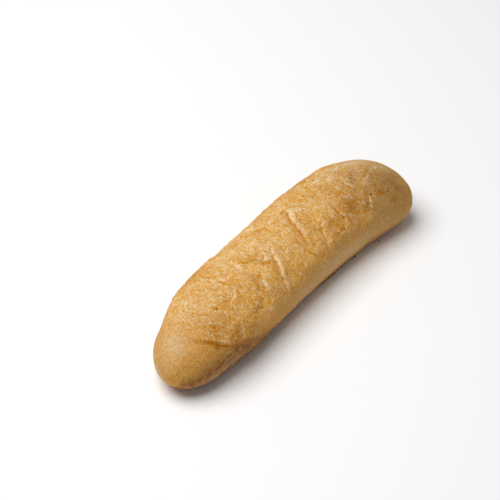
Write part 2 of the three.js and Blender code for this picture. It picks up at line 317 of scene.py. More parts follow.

# Paste: the turn its lower edge reaches on the flanks, how that edge wanders, and where it thins out
PASTE_ALONGS = (-60, 20, 34, 45, 55, 70, 85)
PASTE_TURNS = (74, 72, 70, 66, 66, 68, 74)
PASTE_BACK_TURN = 74
PASTE_WANDER = (16, 12)
PASTE_SOFT = 13
NOSE_TURNS = (-180, -60, -10, 28, 51, 69, 78, 180)
NOSE_ALONGS = (-96, -100, -102, -101, -94, -83, -72, -60)
NOSE_SOFTS = (9, 9, 8, 3, 2, 2, 3, 3)
PASTE_END_TURNS = (-180, -74, -49, -20, 6, 26, 38, 49, 60, 74, 180)
PASTE_END_ALONGS = (72, 75, 92, 106, 106, 97, 90, 84, 79, 73, 72)
PASTE_END_SOFT = 6

# Browned underside, which low on the side of the nose rises as painted shade: the turn it starts at, from
# one tip of the loaf to the other. On the far side of the nose it starts lower and softer, and further from
# the tip
BROWN_ALONGS = (
    -126.5, -125.2, -124, -121, -115, -99, -85, -72, -60, -45, -30, 0, 88, 104, 114, 120, 124, 126)
BROWN_TURNS = (220, 190, 98, 84, 78, 73, 74, 78, 88, 99, 112, 122, 124, 127, 135, 152, 185, 220)
BROWN_SOFTS = (10, 10, 22, 20, 20, 16, 9, 8, 10, 10, 6, 4, 4, 8, 14, 18, 20, 10)
BROWN_WANDER = (8, 5)
BROWN_FAR_SIDE = (-122, -96)
BROWN_FAR_LOWER = 16
BROWN_FAR_LOWER_TO = (-60, -10)
BROWN_FAR_SOFTER = 6

# The turns between which the flanks grow a deeper, warmer gold, painted for the colour of their shade, and
# the same on the hidden flank; and where the full end grows darker with painted shade, which is less so at
# its rim and low on its side
SHADED_FLANK_TURNS = (12, 58)
BACK_FLANK_TURNS = (45, 85)
BACK_FLANK_SHARE = 0.6
FULL_END_SHADE_ALONGS = (40, 116)
FULL_END_SHADE_TURNS = (-40, 20)
FULL_END_RIM = (104, 114)
FULL_END_RIM_SHARE = 0.7
FULL_END_LOW_TURNS = (30, 70)
FULL_END_LOW_SHARE = 0.6

# Mottling: how strong it is along the loaf, on its top and on its flank
MOTTLED_ALONGS = (-60, -25, 45, 85)
MOTTLED_TOP = (1.0, 1.0, 1.0, 0.72)
MOTTLED_FLANK = (1.1, 0.78, 0.78, 0.78)

# Relief finer than the solid's: size of the lumps and their height
DOUGH_LUMPS = (14, 0.3)
PASTE_CRINKLES = (10.4, 0.43)
CRINKLES_FADE = 0.65
CRINKLES_FADE_TURNS = (15, 55)
PASTE_KNOBS = (4.0, 0.2)
PASTE_CRACKLE = (3.2, 0.18)
CRACKLE_WIDTH = 0.35
CRUST_GRAIN = (1.7, 0.06)
ROUND_THE_LOAF = (1.6, 1.0, 1.0)  # crinkles and flecks are this much shorter along the loaf than round it

# Noise: where each kind of lump is taken from in it
DRIFTS = {
    "edges": 1.7, "grain": 2.3, "brown_and_shade": 3.1, "crinkles": 4.4, "dough": 5.9,
    "veins": 6.6, "paste": 7.3, "folds": 8.2, "knobs": 9.1, "stirring": (11.3, 23.9, 37.1),
}

# Mesh of the loaf: corners round it and along it, closer together over the top and towards the tips
COLUMNS = 290
ROWS = 340
COLUMN_CROWDING = 0.35
TIP_ROWS = 28
LYING = 0.01  # a corner no higher than this lies on the surface under the loaf

# Crumbs of browned crust along the rim of the base: the stretch of the rim, its side, their count and size
RIM_CRUMBS = (
    {"alongs": (26, 42), "side": 1, "count": 34, "size": (0.6, 1.3)},
    {"alongs": (42, 64), "side": 1, "count": 30, "size": (0.4, 0.75)},
    {"alongs": (-80, 26), "side": 1, "count": 14, "size": (0.3, 0.55)},
    {"alongs": (63, 90), "side": 1, "count": 2, "size": (0.3, 0.5)},
    {"alongs": (-20, 70), "side": -1, "count": 40, "size": (0.4, 1.2)},
    {"alongs": (-80, -20), "side": -1, "count": 12, "size": (0.3, 0.6)},
    {"alongs": (-42, -41), "side": 1, "count": 1, "size": (1.4, 1.5)},
)
CRUMB_FINENESS = 2
CRUMB_LEVEL = (0.5, 2.4)  # height over the base
CRUMB_OUT = (0.3, 1.5)  # how far out of the flank
CRUMB_SQUEEZE = (1.5, 1.0, 0.75)
CRUMB_ROUGH = (0.8, 0.45)  # size and height of the lumps on a crumb of radius 1
CRUMB_DRIFTS = (0, 99)
CRUMB_SEED = 11
SLIVER = {"along": 86, "length": 4.4, "thick": 0.3, "level": 2.0, "out": 0.9, "lean": 50}
RIM_TURNS = (90, 140)
RIM_STEPS = 240


def srgb(red, green, blue):
    """Linear, opaque colour from a screen colour with parts from 0 to 255."""
    parts = np.array([red, green, blue]) / 255
    linear = np.where(parts <= 0.04045, parts / 12.92, ((parts + 0.055) / 1.055) ** 2.4)
    return (*linear.tolist(), 1.0)


# Colours of the crust and its crumbs. A tint multiplies the colour under it
GOLDEN = srgb(218, 174, 105)
# Deeper, warmer gold, painted on the flanks for the colour of their shade, and in a few golden patches
TOASTED_AND_SHADED_GOLD = srgb(234, 176, 86)
DEEP_GOLDEN = srgb(209, 150, 70)
DEEP_BAKED = srgb(178, 122, 50)
BARE_CRUST = srgb(201, 155, 90)
BARE_TOASTED_AND_SHADED = srgb(202, 153, 80)
# Painted shade: the darker colour of the full end and its hollows
SHADED_END_CRUST = srgb(157, 123, 81)
FULL_END_BLOTCH = srgb(152, 102, 47)
# Brown of the underside, also painted shade low on the side of the nose and in hollows
BROWN_AND_SHADE_COLOUR = srgb(172, 120, 62)
DEEP_BROWN_AND_SHADE_COLOUR = srgb(128, 77, 30)
# Pale dust, also painted light that lifts the shaded rim of the base and flat facets low on the flank
DUST_AND_LIGHT_PALE = srgb(219, 197, 158)
AMBER_TINT = (0.93, 0.70, 0.14, 1.0)
CREAM_TINT = (1.06, 1.31, 2.08, 1.0)
CREAM = srgb(247, 227, 186)
FIBRE = srgb(206, 164, 100)
# Inside of the pinholes: darker crust and painted shade
HOLE_CRUST_AND_SHADE = srgb(112, 60, 16)
CRUMB_DARK = srgb(150, 96, 46)
CRUMB_LIGHT = srgb(204, 152, 92)

# Marks in the crust's colour: size, the two levels of the noise between which a mark grows, and its detail
TONE_PATCHES = (12, 0.36, 0.64)
BLOTCHES = (8.0, 0.50, 0.66)
SINGED = (5.0, 0.38, 0.58, 3.0)
DABS = (4.2, 0.58, 0.70)
BLOBS = (6.0, 0.40, 0.30)
FRECKLES = (3.0, 0.58, 0.68, 1.0)
MARKS_STIRRED = (3.0, 1.5)  # size and reach of the stirring of the marks
PLATE_SIZE = 3.6
PLATE_CRACKS = (0.0, 0.20)

# Clouds in the crust's colour: size, detail and roughness
FLECKS = (2.0, 2.0, 0.6)
GRAIN = (0.8, 1.0)
SPECKS = (1.2, 3.0, 0.6)
SPECK_LEVELS = (0.3, 0.7)

# How strongly each colour and mark shows. A pair is for where a share is 0 and where it is 1
PATCHES_SHOW = (0.6, 0.9)  # by how much painted shade the full end has
BARE_SHOWS = 0.8
END_SHADE_SHOWS = 0.85
BLOTCHES_SHOW = 0.35
BROWN_SHOWS = 0.9
AMBER_SHOWS = 0.6
PALE_SHOWS = (0.6, 0.3)  # by how much painted shade the full end has
PINHOLES_SHOW = 0.95
DABS_SHOW = 0.25
FLECKS_BREAK_PALE = 1.2
PALE_LEVELS = (0.15, 0.95)
RELIEF_SHARES = {"cracks": 0.45, "plates": 0.45, "flecks": 2.4, "blobs": 0.25}
RELIEF_SHOWS = (0.22, 1.0)  # by how much paste there is, as the next three
GRAIN_SHOWS = (1.6, 2.5)
PLAIN_TONE = (0.31, 0.29)
SPECKS_SHOW = (0.16, 0.06)
SPECKS_WHERE_DEEP = 0.06
SPECKS_WHERE_BAKED = 0.05
PALE_CALMS = 0.5  # share of the mottling that pale paste lacks
PALE_LIGHTENS = 0.25
AMBER_DARKENS = 0.4
DEEP_DARKENS = 0.13
FRECKLES_DARKEN = 0.3

# Surfaces: depth of the finest relief, roughness and shine
RIDGE_DEPTH = 0.05
PIT_DEPTH = 0.12
CRUST_ROUGHNESS = (0.66, 0.80)  # by how much paste there is
CRUST_SHINE = 0.12
CRUMB_BROKEN = (1.6, 0.35, 0.7, 3.0)
CRUMB_GRAIN = 0.5
CRUMB_PITS = 0.15
CRUMB_ROUGHNESS = 0.8
CRUMB_SHINE = 0.15

# Camera and studio
VIEW_AZIMUTH = -48.5  # from the front, -Y, towards +X
VIEW_ELEVATION = 45
VIEW_DISTANCE = 1500
VIEW_LENS = 150
VIEW_SENSOR = 36
LOAF_RIGHT_OF_CENTRE = 16.9
LOAF_BELOW_CENTRE = 27.1
KEY_AZIMUTH = 131
KEY_ELEVATION = 70
KEY_DISTANCE = 1600
KEY_SIZE = 1400
KEY_POWER = 26
SKY_STRENGTH = 0.22
FLOOR_SIZE = 12000
FLOOR_GAP = 0.2
VIEW_END = 100000
FLOOR_COLOURS = (srgb(250, 250, 250), srgb(252, 252, 252))
FLOOR_CLOUDS = 400
FLOOR_ROUGHNESS = 0.9
FLOOR_SHINE = 0.1


def between(pair, share):
    """From the first of a pair to the second with the share."""
    return pair[0] + (pair[1] - pair[0]) * share


class Value:
    """What a socket gives. Arithmetic on it adds the nodes that work out the result."""

    def __init__(self, finish, socket):
        self.finish = finish
        self.socket = socket

    def math(self, operation, first, second):
        return self.finish.node("ShaderNodeMath", {"operation": operation}, {0: first, 1: second})

    def __add__(self, other):
        return self.math("ADD", self, other)

    def __radd__(self, other):
        return self.math("ADD", other, self)

    def __sub__(self, other):
        return self.math("SUBTRACT", self, other)

    def __rsub__(self, other):
        return self.math("SUBTRACT", other, self)

    def __mul__(self, other):
        return self.math("MULTIPLY", self, other)

    def __rmul__(self, other):
        return self.math("MULTIPLY", other, self)


class Finish:
    """A material in the making."""

    def __init__(self, name):
        self.material = bpy.data.materials.new(name)
        self.material.use_nodes = True
        self.tree = self.material.node_tree
        self.tree.nodes.clear()

    def node(self, kind, settings=None, sockets=None, output=0):
        """Adds a node, sets it up, gives its sockets their values or links, and returns one output."""
        made = self.tree.nodes.new(kind)
        for name, value in (settings or {}).items():
            setattr(made, name, value)
        for name, value in (sockets or {}).items():
            if isinstance(value, Value):
                self.tree.links.new(value.socket, made.inputs[name])
            else:
                made.inputs[name].default_value = value
        return Value(self, made.outputs[output]) if made.outputs else None

    def place(self):
        return self.node("ShaderNodeTexCoord", output="Object")

    def painted(self, name):
        """A share that the mesh holds at each of its corners."""
        return self.node("ShaderNodeAttribute", {"attribute_name": name}, output="Fac")

    def clouds(self, place, size, detail=2.0, roughness=0.5, output="Fac"):
        """Noise from 0 to 1, with lumps of about the given size."""
        sockets = {"Vector": place, "Scale": 1 / (size * MM), "Detail": detail, "Roughness": roughness}
        return self.node("ShaderNodeTexNoise", {"normalize": True}, sockets, output)

    def vectors(self, operation, first, second):
        return self.node("ShaderNodeVectorMath", {"operation": operation}, {0: first, 1: second})

    def stirred(self, place, size, reach):
        """The place, moved about by up to the given reach."""
        push = self.vectors("SUBTRACT", self.clouds(place, size, output="Color"), (0.5, 0.5, 0.5))
        return self.vectors("ADD", place, self.vectors("MULTIPLY", push, (2 * reach * MM,) * 3))

    def plates(self, place, size):
        """Plates of the given size: how far inside its plate a place is, and a number for each plate."""
        sockets = {"Vector": place, "Scale": 1 / (size * MM)}
        edge = self.node("ShaderNodeTexVoronoi", {"feature": "DISTANCE_TO_EDGE"}, sockets, "Distance")
        colour = self.node("ShaderNodeTexVoronoi", {"feature": "F1"}, sockets, "Color")
        return edge, self.node("ShaderNodeSeparateColor", {}, {"Color": colour}, "Red")

    def step(self, value, low, high, start=0.0, end=1.0):
        """A soft step from start to end while the value goes from low to high."""
        sockets = {"Value": value, "From Min": low, "From Max": high, "To Min": start, "To Max": end}
        return self.node("ShaderNodeMapRange", {"interpolation_type": "SMOOTHSTEP"}, sockets)

    def marks(self, place, size, low, high, detail=2.0):
        """Marks of about the given size, each growing while the noise goes from low to high."""
        return self.step(self.clouds(place, size, detail), low, high)

    def mix(self, share, first, second):
        """The first colour, going over to the second with the share."""
        return self.node("ShaderNodeMix", {"data_type": "RGBA"}, {0: share, 6: first, 7: second}, 2)

    def bump(self, height, depth, below=None):
        """Normal of a surface whose height from 0 to 1 stands for the given depth."""
        sockets = {"Height": height, "Distance": depth * MM}
        if below is not None:
            sockets["Normal"] = below
        return self.node("ShaderNodeBump", {}, sockets)

    def shade(self, sockets):
        """Ends the material in one plain shader with the given sockets."""
        shader = self.node("ShaderNodeBsdfPrincipled", {}, sockets)
        self.node("ShaderNodeOutputMaterial", {}, {"Surface": shader})
        return self.material


def smooth(value, low, high):
    """Soft step from 0 to 1 while the value goes from low to high."""
    share = np.clip((value - low) / (high - low), 0, 1)
    return share * share * (3 - 2 * share)


def bell(distance, width):
    """Share from 1 at no distance to 0 well beyond the width."""
    return np.exp(-((distance / width) ** 2))


def rounded_end(distance, end):
    """Share of the full section at a distance from a tip: 0 at the tip, and 1 where its rounding stops."""
    left = 1 - np.clip(distance / end["reach"], 0, 1)
    return (1 - left ** end["power"]) ** (1 / end["power"])


def smooth_form(along, turn):
    """Points of the loaf's form before any relief, one for each place."""
    full = rounded_end(LENGTH / 2 + along, TAPERED_END) * rounded_end(LENGTH / 2 - along, FULL_END)
    share = 2 * along / LENGTH
    half = (WIDTH / 2 - WAIST["depth"] * bell(along - WAIST["along"], WAIST["reach"])) * full
    top = TIP_HEIGHT + (HEIGHT - TIP_HEIGHT) * full
    bottom = TIP_HEIGHT * np.maximum(0, 1 - full / FLAT_FROM) ** LIFT_POWER
    middle = BOW * (1 - abs(share) ** BOW_POWER) * (1 + BOW_LEAN * share)
    level = bottom + WIDEST_LEVEL * (top - bottom)

    across = -np.sin(np.radians(turn))
    up = np.cos(np.radians(turn))
    side_power = np.where(up >= 0, UPPER_CURVE["side"], LOWER_CURVE["side"])
    y = middle + half * np.sign(across) * abs(across) ** (2 / side_power)
    over = level + (top - level) * abs(up) ** (2 / UPPER_CURVE["up"])
    under = level - (level - bottom) * (1 + BASE_CUT * full**2) * abs(up) ** (2 / LOWER_CURVE["up"])
    z = np.where(up >= 0, over, np.maximum(bottom, under))
    return np.stack([along, y, z], axis=-1)


def outward(points):
    """Unit normals of a grid of points whose rows run along the loaf and whose columns run round it."""
    round_it = np.roll(points, -1, axis=1) - np.roll(points, 1, axis=1)
    normals = np.cross(round_it, np.gradient(points, axis=0))
    return normals / np.linalg.norm(normals, axis=-1, keepdims=True)


def nearest_on_line(along, turn, line):
    """Distance from each place to a line of places, and the share of the line where it is nearest.

    The distance is positive on the full-end side of a line that runs from the top down the -Y side.
    """
    nearest = np.full(along.shape, np.inf)
    share = np.zeros(along.shape)
    for i, (start, end) in enumerate(zip(line, line[1:])):
        run_along = end[0] - start[0]
        run_round = (end[1] - start[1]) * MM_PER_DEGREE
        to_along = along - start[0]
        to_round = (turn - start[1]) * MM_PER_DEGREE
        held = np.clip((to_along * run_along + to_round * run_round) / (run_along**2 + run_round**2), 0, 1)
        distance = np.hypot(to_along - held * run_along, to_round - held * run_round)
        side = np.where(run_round * to_along - run_along * to_round < 0, -1, 1)
        closer = distance < abs(nearest)
        nearest = np.where(closer, side * distance, nearest)
        share = np.where(closer, (i + held) / (len(line) - 1), share)
    return nearest, share


def streak_share(along, turn, streak):
    """Share from 1 on a streak's line to 0 well beside it."""
    distance, _ = nearest_on_line(along, turn, streak.line)
    return bell(distance, streak.width)


def spot_share(along, turn, spot):
    """Share from 1 in the middle of a spot to 0 well outside it."""
    away_along = (along - spot.along) / spot.long
    away_round = (turn - spot.turn) * MM_PER_DEGREE / spot.wide
    return bell(np.hypot(away_along, away_round), 1)


def all_spots(along, turn, spots):
    """The strengths of some spots at each place, added up."""
    return sum(spot.strength * spot_share(along, turn, spot) for spot in spots)


def strongest_spot(along, turn, spots):
    """The strength of the strongest of some spots at each place."""
    return np.max([spot.strength * spot_share(along, turn, spot) for spot in spots], axis=0)


def lumps(points, size, drift):
    """Noise from about -1 to 1 with lumps of the given size. Another drift gives other lumps."""
    drifted = (points / size + drift).reshape(-1, 3).tolist()
    return np.array([noise.noise(point) for point in drifted]).reshape(points.shape[:-1])


def cell_edges(points, size, width):
    """Closeness to the edges of a network of cells: 1 on an edge, and 0 where it is a width away.

    The width is a share of the size of the cells.
    """
    gaps = []
    for point in (points / size).reshape(-1, 3).tolist():
        distances = noise.voronoi(point)[0]
        gaps.append(distances[1] - distances[0])
    return 1 - smooth(np.array(gaps).reshape(points.shape[:-1]), 0.0, width)


def stirred_points(points, size, reach):
    """The points, each moved about by up to the given reach."""
    push = [lumps(points, size, drift) for drift in DRIFTS["stirring"]]
    return points + reach * np.stack(push, axis=-1)


def dough_bumps():
    """Low bumps and dips in turn, strewn evenly over the crust."""
    bumps = []
    for i in range(1, BUMPS["count"] + 1):
        along = (i * STREWN["along"] % 1 - 0.5) * LENGTH * BUMPS["share"]
        turn = (i * STREWN["turn"] % 1 - 0.5) * BUMPS["turns"]
        rise = between(BUMPS["rise"], i * STREWN["rise"] % 1) * (1 if i % 2 else -1)
        spread = between(BUMPS["spread"], i * STREWN["spread"] % 1)
        bumps.append(Spot(along, turn, spread, spread, rise))
    return bumps


def crust_grid():
    """Places of the corners of the loaf's mesh between its tips, as two arrays of rows and columns."""
    count = np.arange(ROWS)
    steps = np.minimum(1, (1 + np.minimum(count, count[::-1])) / TIP_ROWS)
    alongs = LENGTH * (np.cumsum(steps)[:-1] / steps.sum() - 0.5)
    even = np.linspace(-180, 180, COLUMNS, endpoint=False)
    turns = even - np.degrees(COLUMN_CROWDING * np.sin(np.radians(even)))
    return np.meshgrid(alongs, turns, indexing="ij")


def paste_share(along, turn, points):
    """Where the crackled paste covers the crust: not low on the flanks, on the nose or at the full end."""
    edge = np.where(turn < 0, PASTE_BACK_TURN, np.interp(along, PASTE_ALONGS, PASTE_TURNS))
    edge = edge + PASTE_WANDER[1] * lumps(points, PASTE_WANDER[0], DRIFTS["paste"])
    flank = 1 - smooth(abs(turn), edge - PASTE_SOFT, edge + PASTE_SOFT)
    nose = np.interp(turn, NOSE_TURNS, NOSE_ALONGS)
    soft = np.interp(turn, NOSE_TURNS, NOSE_SOFTS)
    end = np.interp(turn, PASTE_END_TURNS, PASTE_END_ALONGS)
    covered = 1 - smooth(along - end, -PASTE_END_SOFT, PASTE_END_SOFT)
    return flank * smooth(along - nose, -soft, soft) * covered


def brown_and_shade_share(along, turn, points):
    """Where the crust is browned from below, and where painted shade browns the nose low on its side."""
    far = turn < 0
    wander = BROWN_WANDER[1] * lumps(points, BROWN_WANDER[0], DRIFTS["brown_and_shade"])
    lower = BROWN_FAR_LOWER * far * (1 - smooth(along, *BROWN_FAR_LOWER_TO))
    start = np.interp(along, BROWN_ALONGS, BROWN_TURNS) + wander + lower
    soft = np.interp(along, BROWN_ALONGS, BROWN_SOFTS) + BROWN_FAR_SOFTER * far
    shown = np.where(far, smooth(along, *BROWN_FAR_SIDE), 1)
    return shown * smooth(abs(turn), start - soft, start + soft)


def add_fold(along, turn, uneven, fold, height, paste, pale, amber_and_shade):
    """Raises one fold, with its uneven pale wall and the smooth groove at its foot, with painted shade as
    amber in the groove and along the foot.
    """
    distance, share = nearest_on_line(along, turn, fold.foot)
    before = distance < 0
    stops = np.linspace(0, 1, len(fold.foot))
    _, _, widths, paleness = zip(*fold.foot)
    wall = (1 + FOLD_UNEVEN[1] * uneven) * np.interp(share, stops, widths)
    taper = smooth(share, 0, FOLD_TAPERS[0]) * smooth(1 - share, 0, FOLD_TAPERS[1])

    ahead = np.exp(np.minimum(distance, 0) / FOLD_AHEAD)
    climb = np.sin(np.clip(distance / wall, 0, 1) * math.pi / 2)
    behind = bell(np.maximum(distance - wall, 0), fold.back)
    risen = (climb * (fold.rise + fold.dip) - fold.dip) * behind
    height += taper * np.where(before, -fold.dip * ahead, risen)

    pale_from, pale_to = FOLD_PALE_TO
    on_wall = smooth(distance, *FOLD_PALE_FROM) * (1 - smooth(distance, pale_from * wall, pale_to * wall))
    bared = np.interp(share, stops, paleness) * (1 - FOLD_PATCHY * smooth(uneven, *FOLD_PATCHES))
    np.maximum(pale, bared * smooth(share, 0, FOLD_PALE_STARTS) * on_wall, out=pale)
    strength = taper * fold.rise / FULL_FOLD
    foot_line = FOOT_LINE["share"] * bell(distance + FOOT_LINE["ahead"], FOOT_LINE["width"])
    np.maximum(amber_and_shade, strength * (foot_line + FOOT_SHADE * ahead * before), out=amber_and_shade)
    paste *= 1 - FOLD_BARED * strength * ahead * before


def add_paste_relief(turn, points, paste, height, pale):
    """Raises the crinkles, knobs, crackle and pale veins of the paste."""
    shrunk = points * ROUND_THE_LOAF
    crinkled = paste * (1 - CRINKLES_FADE * smooth(-turn, *CRINKLES_FADE_TURNS))
    crinkles = lumps(shrunk * ROUND_THE_LOAF, PASTE_CRINKLES[0], DRIFTS["crinkles"])
    height += crinkled * PASTE_CRINKLES[1] * crinkles
    height += paste * PASTE_KNOBS[1] * lumps(shrunk, PASTE_KNOBS[0], DRIFTS["knobs"])
    height += paste * PASTE_CRACKLE[1] * cell_edges(shrunk, PASTE_CRACKLE[0], CRACKLE_WIDTH)

    showing = lumps(points, VEINS_SHOW["size"], DRIFTS["veins"])
    network = cell_edges(stirred_points(shrunk, *VEINS_STIRRED), VEINS["size"], VEINS["width"])
    veins = paste * smooth(showing, VEINS_SHOW["from"], VEINS_SHOW["to"]) * network
    height += VEINS["height"] * veins
    np.maximum(pale, VEINS["share"] * veins, out=pale)


def strewn_draws(count):
    """For each of a number of strewn marks, whether it is an odd one and its own shares from 0 to 1."""
    for i in range(1, count + 1):
        yield i % 2 == 1, {name: i * step % 1 for name, step in MARK_STEPS.items()}


def add_scratches(along, turn, pale):
    """Strews pale scratches over the lower part of the nose, on both sides in turn."""
    for odd, draw in strewn_draws(SCRATCHES["count"]):
        side = 1 if odd else -1
        long = between(SCRATCHES["long"], draw["long"])
        lean = (2 * draw["lean"] - 1) * SCRATCH_LEAN * long / MM_PER_DEGREE
        start_along = between(SCRATCHES["alongs"], draw["along"])
        start_turn = between(SCRATCHES["turns"], draw["turn"])
        ends = (start_along, side * start_turn), (start_along + long, side * (start_turn + lean))
        distance, share = nearest_on_line(along, turn, ends)
        taper = smooth(share, 0, SCRATCH_TAPER) * smooth(1 - share, 0, SCRATCH_TAPER)
        np.maximum(pale, SCRATCH_SHARE * taper * bell(distance, SCRATCHES["width"]), out=pale)


def add_wrinkles(along, turn, paste, height, pale, amber_and_shade):
    """Strews short wrinkles over the paste, each fading towards both its ends."""
    for odd, draw in strewn_draws(WRINKLES["count"]):
        start_along = (draw["along"] - 0.5) * LENGTH * WRINKLES["reach"]
        start_turn = (draw["turn"] - 0.5) * WRINKLES["turns"]
        long = between(WRINKLES["long"], draw["long"])
        lean = (2 * draw["lean"] - 1) * WRINKLES["lean"] * long
        ends = (start_along, start_turn), (start_along + lean, start_turn + long / MM_PER_DEGREE)
        distance, share = nearest_on_line(along, turn, ends)
        width = between(WRINKLES["width"], draw["width"])
        mark = paste * bell(distance, width) * (4 * share * (1 - share))
        height += (WRINKLE_HEIGHT if odd else -WRINKLE_HEIGHT) * mark
        marked = pale if odd else amber_and_shade
        np.maximum(marked, WRINKLE_SHARE * mark, out=marked)


def add_shoulder_and_furrows(along, turn, height, amber_and_shade):
    """Raises the shoulder over the nose, and sinks the furrows with their amber bottoms, partly painted
    shade.
    """
    distance, share = nearest_on_line(along, turn, SHOULDER["line"])
    step = bell(distance, np.where(distance < 0, SHOULDER["front"], SHOULDER["back"]))
    height += SHOULDER["rise"] * smooth(share, *SHOULDER["starts"]) * step
    for furrow in FURROWS:
        distance, share = nearest_on_line(along, turn, furrow["line"])
        mark = smooth(share, *furrow["grows"]) * bell(distance, furrow["width"])
        height -= furrow["depth"] * mark
        np.maximum(amber_and_shade, furrow["amber_and_shade"] * mark, out=amber_and_shade)


def crust_relief(along, turn, points):
    """Outward height of the crust over the smooth form, and the shares of paste and marks on it."""
    wander = sum(reach * lumps(points, size, DRIFTS["edges"]) for size, reach in EDGE_WANDER)
    wandered = along + wander
    paste = paste_share(along, turn, points)
    pale = strongest_spot(along, turn, PALE_PATCHES)
    amber_and_shade = strongest_spot(along, turn, AMBER_FRECKLES)
    pinhole = np.zeros(along.shape)

    height = all_spots(along, turn, SWELLINGS) + all_spots(along, turn, dough_bumps())
    height += DOUGH_LUMPS[1] * lumps(points, DOUGH_LUMPS[0], DRIFTS["dough"])
    height += CRUST_GRAIN[1] * lumps(points, CRUST_GRAIN[0], DRIFTS["grain"])
    height += FLANK.strength * streak_share(along, turn, FLANK)
    height += PALE_RISE * pale

    uneven = lumps(points, FOLD_UNEVEN[0], DRIFTS["folds"])
    for fold in FOLDS:
        add_fold(wandered, turn, uneven, fold, height, paste, pale, amber_and_shade)
    add_paste_relief(turn, points, paste, height, pale)
    add_wrinkles(wandered, turn, paste, height, pale, amber_and_shade)
    add_scratches(wandered, turn, pale)
    add_shoulder_and_furrows(wandered, turn, height, amber_and_shade)
    for lip in LIPS:
        np.maximum(pale, lip.strength * streak_share(wandered, turn, lip), out=pale)
    # Amber cracks, some of them painted shade in creases and under lumps
    for crack in AMBER_CRACKS_AND_SHADE:
        mark = streak_share(wandered, turn, crack)
        height -= CRACK_DEPTH * mark
        np.maximum(amber_and_shade, crack.strength * mark, out=amber_and_shade)
    # The pinholes sink, with painted shade inside them
    for hole in PINHOLES:
        mark = spot_share(along, turn, hole)
        height -= hole.strength * mark
        np.maximum(pinhole, smooth(mark, *PINHOLE_DARK), out=pinhole)

    # The hollows painted with shade lose their paleness
    pale *= 1 - HOLLOWS_BARED * strongest_spot(along, turn, SHADED_HOLLOWS)
    shown = 1 - smooth(abs(turn), *RELIEF_FADES)
    foot = FOOT.strength * streak_share(along, turn, FOOT)
    return foot + shown * height, {"paste": paste, "pale": pale, "amber_and_shade": amber_and_shade, "pinhole": pinhole}


def colour_and_shade_shares(along, turn, points):
    """Shares at each place: deep patches, pale dust and painted light, brown and painted shade, deeper gold
    and the painted shade of the flanks, mottling, and the painted shade of the full end.
    """
    # Deeper gold on the flanks, painted for the colour of their shade, and the same at a lower share on the
    # hidden flank
    back = BACK_FLANK_SHARE * smooth(-turn, *BACK_FLANK_TURNS)
    flank = np.maximum(smooth(turn, *SHADED_FLANK_TURNS), back)
    mottled_top = np.interp(along, MOTTLED_ALONGS, MOTTLED_TOP)
    mottled_flank = np.interp(along, MOTTLED_ALONGS, MOTTLED_FLANK)
    # Painted shade at the full end, less at its rim and low on its side
    rim = 1 - FULL_END_RIM_SHARE * smooth(along, *FULL_END_RIM)
    low = 1 - FULL_END_LOW_SHARE * smooth(turn, *FULL_END_LOW_TURNS)
    end = rim * low * smooth(along, *FULL_END_SHADE_ALONGS) * smooth(turn, *FULL_END_SHADE_TURNS)
    # Brown patches, some of them painted shade in the full end's hollows
    brown_and_shaded = strongest_spot(along, turn, BROWN_AND_SHADE_PATCHES)
    return {
        "deep": strongest_spot(along, turn, DEEP_PATCHES),
        "dust_and_light": strongest_spot(along, turn, DUST_AND_LIGHT_PATCHES),
        "brown_and_shade": np.maximum(brown_and_shade_share(along, turn, points), brown_and_shaded),
        "toasted_and_shaded": np.maximum(flank, strongest_spot(along, turn, TOASTED_PATCHES)),
        "mottled": between((mottled_top, mottled_flank), flank),
        "full_end_shade": np.maximum(end, strongest_spot(along, turn, SHADED_HOLLOWS)),
    }


def grid_faces():
    """Faces of a grid that is closed round the loaf, with a fan over each tip, all facing outward."""
    rows = ROWS - 1
    corner = np.arange(rows * COLUMNS).reshape(rows, COLUMNS)
    beside = np.roll(corner, -1, axis=1)
    quads = np.stack([corner[:-1], beside[:-1], beside[1:], corner[1:]], axis=-1).reshape(-1, 4)
    first_tip = rows * COLUMNS
    last_tip = first_tip + 1
    fans = [(first_tip, b, a) for a, b in zip(corner[0], beside[0])]
    fans += [(last_tip, a, b) for a, b in zip(corner[-1], beside[-1])]
    return quads.tolist() + [tuple(int(i) for i in fan) for fan in fans]


def new_piece(name, points, faces, material):
    """A mesh object with smooth faces, from points in mm."""
    mesh = bpy.data.meshes.new(name)
    mesh.from_pydata((points * MM).tolist(), [], faces)
    mesh.polygons.foreach_set("use_smooth", np.ones(len(mesh.polygons), bool))
    mesh.materials.append(material)
    mesh.update()
    piece = bpy.data.objects.new(name, mesh)
    bpy.context.collection.objects.link(piece)
    return piece


def bake_loaf():
    """The loaf's crust as one closed mesh in the place of its solid, and the shift that brings it there."""
    along, turn = crust_grid()
    points = smooth_form(along, turn)
    height, shares = crust_relief(along, turn, points)
    shares.update(colour_and_shade_shares(along, turn, points))
    lying = points[..., 2] < LYING
    points = points + np.where(lying, 0, height)[..., None] * outward(points)
    points[..., 2] = np.maximum(points[..., 2], 0)

    tips = smooth_form(np.array([-LENGTH / 2, LENGTH / 2]), np.zeros(2))
    corners = np.concatenate([points.reshape(-1, 3), tips])
    solid_low, solid_high = (np.array(corner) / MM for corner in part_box("loaf"))
    low, high = corners.min(axis=0), corners.max(axis=0)
    shift = (solid_low + solid_high - low - high) / 2
    shift[2] = solid_low[2] - low[2]
    loaf = new_piece("loaf_crust", corners + shift, grid_faces(), crackled_crust(list(shares)))

    for name, share in shares.items():
        painted = loaf.data.attributes.new(name, "FLOAT", "POINT")
        at_tips = share[[0, -1]].mean(axis=1)
        painted.data.foreach_set("value", np.concatenate([share.ravel(), at_tips]).astype(np.float32))
    return loaf, shift


